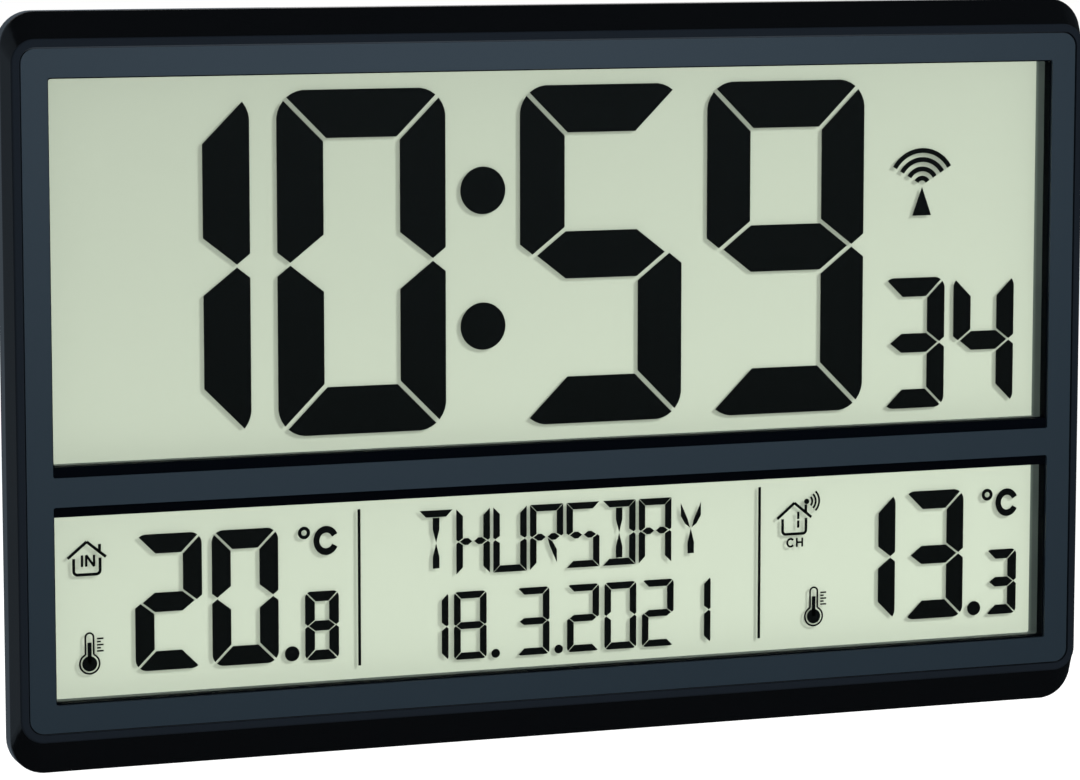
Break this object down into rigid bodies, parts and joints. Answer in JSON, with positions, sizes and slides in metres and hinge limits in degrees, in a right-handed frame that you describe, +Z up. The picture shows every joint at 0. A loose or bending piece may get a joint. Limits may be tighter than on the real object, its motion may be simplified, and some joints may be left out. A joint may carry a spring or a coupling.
{
  "type": "radio-controlled wall clock",
  "caption": "Flat landscape wall clock with a gloss black frame, slate inlay, two LCD windows, keyholes, battery door, rear keys and a fold-out stand.",
  "frame": {"origin": "centre of the flat back, on the wall plane", "axes": "+X to the right seen from the front, +Y into the wall, +Z up"},
  "size_m": [0.366, 0.032, 0.236],
  "materials": {
    "gloss_black": "moulded gloss",
    "slate_panel": "satin",
    "satin_black": "fine moulded texture",
    "key_grey": "satin",
    "display_glass": "clear",
    "cell_seal": "matte",
    "display_reflector": "pale green satin",
    "display_ink": "black",
    "contact_rubber": "striped silicone",
    "carrier_plastic": "natural moulding",
    "board_laminate": "solder mask",
    "black_epoxy": "cast",
    "zinc_steel": "zinc plated",
    "contact_plating": "nickel plated",
    "capacitor_sleeve": "shrink sleeve",
    "ferrite": "ground ceramic",
    "copper_winding": "enamelled wire",
    "cell_jacket": "plain printed jacket",
    "lead_sleeve": "insulation"
  },
  "bodies": {
    "case": {"front_bezel": "gloss_black", "front_panel": "slate_panel", "rear_cover": "satin_black", "time_front_glass": "display_glass", "time_rear_glass": "display_glass", "climate_front_glass": "display_glass", "climate_rear_glass": "display_glass", "time_cell_seal": "cell_seal", "climate_cell_seal": "cell_seal", "time_reflector": "display_reflector", "climate_reflector": "display_reflector", "time_figures": "display_ink", "climate_figures": "display_ink", "time_contact_strip": "contact_rubber", "climate_contact_strip": "contact_rubber", "display_frame": "carrier_plastic", "aerial_clips": "carrier_plastic", "main_board": "board_laminate", "key_board": "board_laminate", "time_receiver": "board_laminate", "sensor_receiver": "board_laminate", "controller_blob": "black_epoxy", "key_switches": "black_epoxy", "thermistor": "black_epoxy", "board_screws": "zinc_steel", "frame_screws": "zinc_steel", "key_board_screws": "zinc_steel", "case_screws": "zinc_steel", "quartz_crystal": "zinc_steel", "stand_pin": "zinc_steel", "flat_contacts": "contact_plating", "spring_contacts": "contact_plating", "capacitors": "capacitor_sleeve", "ferrite_rod": "ferrite", "aerial_coil": "copper_winding", "battery_cells": "cell_jacket", "battery_leads": "lead_sleeve", "aerial_lead": "lead_sleeve", "key_ribbon": "lead_sleeve"},
    "stand": {"stand": "satin_black"},
    "battery_door": {"battery_door": "satin_black"},
    "mode_key": {"mode_key": "key_grey"},
    "set_key": {"set_key": "key_grey"},
    "plus_key": {"plus_key": "key_grey"},
    "minus_key": {"minus_key": "key_grey"},
    "channel_key": {"channel_key": "key_grey"},
    "signal_key": {"signal_key": "key_grey"}
  },
  "joints": [
    {"name": "stand_hinge", "type": "hinge", "parent": "case", "child": "stand", "pos_m": [0, -0.0029, -0.019], "axis": [1, 0, 0], "range_deg": [0, 30]},
    {"name": "battery_door_hinge", "type": "hinge", "parent": "case", "child": "battery_door", "pos_m": [0.092, -0.0003, -0.09285], "axis": [-1, 0, 0], "range_deg": [0, 85]},
    {"name": "mode_press", "type": "slide", "parent": "case", "child": "mode_key", "axis": [0, -1, 0], "range_m": [0, 0.0007], "stiffness_N_per_m": 800},
    {"name": "set_press", "type": "slide", "parent": "case", "child": "set_key", "axis": [0, -1, 0], "range_m": [0, 0.0007], "stiffness_N_per_m": 800},
    {"name": "plus_press", "type": "slide", "parent": "case", "child": "plus_key", "axis": [0, -1, 0], "range_m": [0, 0.0007], "stiffness_N_per_m": 800},
    {"name": "minus_press", "type": "slide", "parent": "case", "child": "minus_key", "axis": [0, -1, 0], "range_m": [0, 0.0007], "stiffness_N_per_m": 800},
    {"name": "channel_press", "type": "slide", "parent": "case", "child": "channel_key", "axis": [0, -1, 0], "range_m": [0, 0.0007], "stiffness_N_per_m": 800},
    {"name": "signal_press", "type": "slide", "parent": "case", "child": "signal_key", "axis": [0, -1, 0], "range_m": [0, 0.0007], "stiffness_N_per_m": 800}
  ]
}
